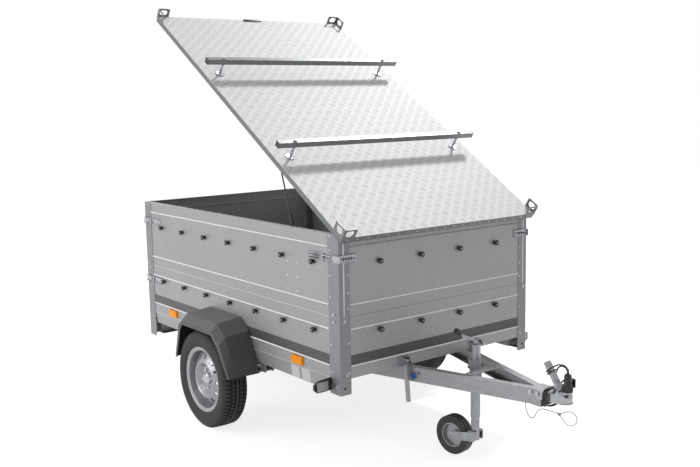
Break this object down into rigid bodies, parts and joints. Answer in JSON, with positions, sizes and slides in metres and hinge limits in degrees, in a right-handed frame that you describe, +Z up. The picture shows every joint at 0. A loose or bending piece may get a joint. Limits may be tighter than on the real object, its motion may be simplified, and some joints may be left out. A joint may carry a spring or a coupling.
{
  "type": "utility trailer",
  "caption": "Single-axle tipping utility trailer with raised sides, drop tailgates, a hinged tread-plate lid with roof bars, and a jockey wheel.",
  "frame": {"origin": "on the ground, at the centre of the trailer's bounding box seen from above", "axes": "+X towards the coupling, +Y to the left, +Z up"},
  "size_m": [2.9124, 1.672, 2.3428],
  "materials": {
    "black_paint": "black painted spring steel",
    "black_plastic": "moulded black plastic",
    "bright_zinc": "bright zinc-plated pressings",
    "cable_rope": "galvanised wire rope",
    "galvanised_sheet": "pressed galvanised sheet, dull spangle",
    "galvanised_steel": "hot-dip galvanised sections",
    "guard_plastic": "textured charcoal plastic",
    "lamp_orange": "moulded orange lens",
    "lamp_red": "moulded lamp lens",
    "lead_sheath": "extruded black sheath",
    "plywood": "film-faced plywood",
    "rim_paint": "silver painted steel wheel",
    "tread_plate": "five-bar aluminium tread plate",
    "tyre_rubber": "tyre rubber"
  },
  "bodies": {
    "root": {"side_lower_left": "galvanised_sheet", "side_lower_right": "galvanised_sheet", "side_upper_left": "galvanised_sheet", "side_upper_right": "galvanised_sheet", "front_lower": "galvanised_sheet", "front_upper": "galvanised_sheet", "post_front_left": "galvanised_sheet", "post_front_right": "galvanised_sheet", "post_rear_left": "galvanised_sheet", "post_rear_right": "galvanised_sheet", "floor_panel": "plywood", "tarp_knobs": "black_plastic", "rear_lamp_beam": "galvanised_sheet", "rear_lamps": "lamp_red", "corner_latches": "bright_zinc", "side_markers": "lamp_orange", "front_lamps": "black_plastic", "tipping_locks": "bright_zinc", "chassis_frame": "galvanised_steel", "cross_members": "galvanised_steel", "tip_pivots": "bright_zinc", "axle_beam": "galvanised_steel", "leaf_springs": "black_paint", "spring_hangers": "galvanised_steel", "mudguard_left": "guard_plastic", "mudguard_right": "guard_plastic", "lid_hinge": "bright_zinc", "strut_brackets": "bright_zinc"},
    "wheel_left": {"tyre_left": "tyre_rubber", "rim_left": "rim_paint", "hub_left": "bright_zinc"},
    "wheel_right": {"tyre_right": "tyre_rubber", "rim_right": "rim_paint", "hub_right": "bright_zinc"},
    "lower_tailgate": {"tailgate_lower": "galvanised_sheet"},
    "upper_tailgate": {"tailgate_upper": "galvanised_sheet"},
    "lid": {"lid_plate": "tread_plate", "lid_side_skirts": "galvanised_sheet", "lid_frame": "galvanised_sheet", "lid_corner_brackets": "bright_zinc", "roof_bars": "bright_zinc", "roof_bar_stands": "bright_zinc"},
    "strut_left_cylinder": {"strut_tube_left": "black_paint"},
    "strut_left_piston": {"strut_rod_left": "bright_zinc"},
    "strut_right_cylinder": {"strut_tube_right": "black_paint"},
    "strut_right_piston": {"strut_rod_right": "bright_zinc"},
    "drawbar": {"drawbar_beams": "galvanised_steel", "jockey_clamp": "galvanised_steel", "coupling_head": "bright_zinc", "coupling_handle": "bright_zinc", "jockey_mast": "bright_zinc", "lead": "lead_sheath", "plug": "black_plastic", "safety_cable": "cable_rope"},
    "jockey_slide": {"jockey_inner_tube": "bright_zinc"},
    "jockey_swivel": {"jockey_fork": "bright_zinc"},
    "jockey_wheel": {"jockey_rim": "rim_paint", "jockey_tyre": "tyre_rubber"}
  },
  "joints": [
    {"name": "wheel_left_spin", "type": "hinge", "parent": "root", "child": "wheel_left", "pos_m": [-0.4453, 0.753, 0.2735], "axis": [0, 1, 0], "continuous": true},
    {"name": "wheel_right_spin", "type": "hinge", "parent": "root", "child": "wheel_right", "pos_m": [-0.4453, -0.753, 0.2735], "axis": [0, 1, 0], "continuous": true},
    {"name": "lower_tailgate_hinge", "type": "hinge", "parent": "root", "child": "lower_tailgate", "pos_m": [-1.4417, 0, 0.472], "axis": [0, -1, 0], "range_deg": [0, 175]},
    {"name": "upper_tailgate_hinge", "type": "hinge", "parent": "root", "child": "upper_tailgate", "pos_m": [-1.4417, 0, 0.79], "axis": [0, -1, 0], "range_deg": [0, 90]},
    {"name": "lid_hinge_turn", "type": "hinge", "parent": "root", "child": "lid", "pos_m": [0.6013, 0, 1.1845], "axis": [0, 1, 0], "range_deg": [-32.7, 0]},
    {"name": "strut_left_swing", "type": "hinge", "parent": "root", "child": "strut_left_cylinder", "pos_m": [0.2447, 0.59, 0.905], "axis": [0, 1, 0], "range_deg": [-30.74, 0]},
    {"name": "strut_left_extend", "type": "slide", "parent": "strut_left_cylinder", "child": "strut_left_piston", "axis": [-0.3202, 0, 0.9474], "range_m": [-0.25468, 0]},
    {"name": "strut_right_swing", "type": "hinge", "parent": "root", "child": "strut_right_cylinder", "pos_m": [0.2447, -0.59, 0.905], "axis": [0, 1, 0], "range_deg": [-30.74, 0]},
    {"name": "strut_right_extend", "type": "slide", "parent": "strut_right_cylinder", "child": "strut_right_piston", "axis": [-0.3202, 0, 0.9474], "range_m": [-0.25468, 0]},
    {"name": "drawbar_tip", "type": "hinge", "parent": "root", "child": "drawbar", "pos_m": [-0.1153, 0, 0.435], "axis": [0, 1, 0], "range_deg": [0, 19]},
    {"name": "jockey_height", "type": "slide", "parent": "drawbar", "child": "jockey_slide", "axis": [0, 0, 1], "range_m": [-0.04, 0.065]},
    {"name": "jockey_turn", "type": "hinge", "parent": "jockey_slide", "child": "jockey_swivel", "pos_m": [0.8587, 0, 0.152], "axis": [0, 0, 1], "continuous": true},
    {"name": "jockey_roll", "type": "hinge", "parent": "jockey_swivel", "child": "jockey_wheel", "pos_m": [0.72876, -0.01665, 0.1], "axis": [-0.1271, 0.9919, 0], "continuous": true}
  ],
  "couplings": [
    {"joint": "strut_left_swing", "follows": "lid_hinge_turn", "ratio": 0.93858},
    {"joint": "strut_left_extend", "follows": "lid_hinge_turn", "m_per_rad": 0.4459},
    {"joint": "strut_right_swing", "follows": "lid_hinge_turn", "ratio": 0.93858},
    {"joint": "strut_right_extend", "follows": "lid_hinge_turn", "m_per_rad": 0.4459}
  ]
}
